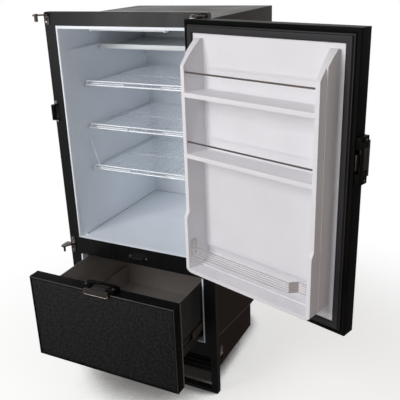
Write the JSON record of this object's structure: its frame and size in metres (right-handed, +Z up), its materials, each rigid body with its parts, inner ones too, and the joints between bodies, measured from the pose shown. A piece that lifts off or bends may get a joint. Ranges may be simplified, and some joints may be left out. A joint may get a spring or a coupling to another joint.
{
  "type": "built-in refrigerator with freezer drawer",
  "caption": "Upright built-in refrigerator with a black face frame, a hinged upper door with racks, wire shelves and a pull-out freezer drawer above a louvred grille.",
  "frame": {"origin": "centre of the face frame's underside, on the floor", "axes": "+X to the user's right, +Y to the back, +Z up"},
  "size_m": [1.133, 0.8597, 1.343],
  "materials": {
    "frame_black": "satin",
    "body_dark": "satin",
    "plain_steel": "satin",
    "liner_white": "satin",
    "foam": "matte",
    "wire_white": "gloss",
    "tray_white": "satin",
    "plate_aluminium": "satin",
    "light_cover": "satin",
    "trim_white": "matte",
    "bracket_black": "satin",
    "strike_black": "satin",
    "screw_steel": "bright",
    "surround_black": "satin",
    "front_grain": "grained",
    "gasket_rubber": "matte",
    "rod_grey": "satin",
    "fence_clear": "ribbed",
    "latch_black": "satin",
    "paddle_brown": "satin",
    "box_grey": "satin",
    "grille_black": "matte",
    "rubber_black": "matte",
    "pot_black": "gloss",
    "module_grey": "matte",
    "copper": "satin",
    "slide_dark": "satin"
  },
  "bodies": {
    "cabinet": {"face_frame": "frame_black", "cabinet_wrap": "body_dark", "back_panel": "plain_steel", "deck_plate": "plain_steel", "side_skirts": "body_dark", "fridge_liner": "liner_white", "freezer_liner": "liner_white", "insulation": "foam", "shelf_upper": "wire_white", "shelf_middle": "wire_white", "shelf_lower": "wire_white", "drip_tray": "tray_white", "evaporator": "plate_aluminium", "freezer_evaporator": "plate_aluminium", "light_bar": "light_cover", "thermostat_housing": "trim_white", "hinge_bracket_top": "bracket_black", "hinge_bracket_bottom": "bracket_black", "spare_bracket_top": "bracket_black", "spare_bracket_bottom": "bracket_black", "hinge_pins": "bracket_black", "door_strike": "strike_black", "drawer_strike": "strike_black", "frame_screws": "screw_steel", "slide_outer": "slide_dark", "louvre_grille": "grille_black", "compressor_tray": "plain_steel", "rubber_feet": "rubber_black", "compressor": "pot_black", "compressor_grommets": "rubber_black", "control_module": "module_grey", "condenser": "plate_aluminium", "fan_shroud": "module_grey", "refrigerant_tubes": "copper", "cable_gland": "module_grey"},
    "door": {"door_frame": "surround_black", "door_panel": "front_grain", "door_foam": "foam", "door_gasket": "gasket_rubber", "hinge_bushes": "trim_white", "door_liner": "liner_white", "bottle_rods": "rod_grey", "bin_fence": "fence_clear", "door_latch": "latch_black", "door_latch_screws": "screw_steel"},
    "drawer": {"drawer_frame": "surround_black", "drawer_panel": "front_grain", "drawer_foam": "foam", "drawer_gasket": "gasket_rubber", "drawer_inner_panel": "box_grey", "drawer_box": "box_grey", "drawer_latch": "latch_black", "drawer_latch_screws": "screw_steel", "slide_inner": "slide_dark"},
    "door_handle": {"door_paddle": "paddle_brown"},
    "drawer_handle": {"drawer_paddle": "paddle_brown"},
    "slide_carriage": {"slide_middle": "slide_dark"},
    "knob": {"thermostat_knob": "trim_white"},
    "fan": {"fan_rotor": "module_grey"}
  },
  "joints": [
    {"name": "door_hinge", "type": "hinge", "parent": "cabinet", "child": "door", "pos_m": [0.2698, -0.046, 0.921], "axis": [0, 0, 1], "range_deg": [-163, 12]},
    {"name": "drawer_slide", "type": "slide", "parent": "cabinet", "child": "drawer", "axis": [0, -1, 0], "range_m": [-0.1995, 0.2005]},
    {"name": "carriage_slide", "type": "slide", "parent": "cabinet", "child": "slide_carriage", "axis": [0, -1, 0], "range_m": [-0.09975, 0.10025]},
    {"name": "door_paddle_pivot", "type": "hinge", "parent": "door", "child": "door_handle", "pos_m": [0.80364, -0.21287, 1.011], "axis": [0, 0, -1], "range_deg": [0, 12], "stiffness_Nm_per_rad": 0.6, "springref_deg": -4.98},
    {"name": "drawer_paddle_pivot", "type": "hinge", "parent": "drawer", "child": "drawer_handle", "pos_m": [0, -0.242, 0.4995], "axis": [-1, 0, 0], "range_deg": [0, 12], "stiffness_Nm_per_rad": 0.6, "springref_deg": -4.98},
    {"name": "thermostat_turn", "type": "hinge", "parent": "cabinet", "child": "knob", "pos_m": [0.215, 0.1095, 1.247], "axis": [-1, 0, 0], "range_deg": [0, 270]},
    {"name": "fan_spin", "type": "hinge", "parent": "cabinet", "child": "fan", "pos_m": [-0.1, 0.42, 0.092], "axis": [0, 1, 0], "continuous": true}
  ],
  "couplings": [
    {"joint": "carriage_slide", "follows": "drawer_slide", "ratio": 0.5}
  ]
}
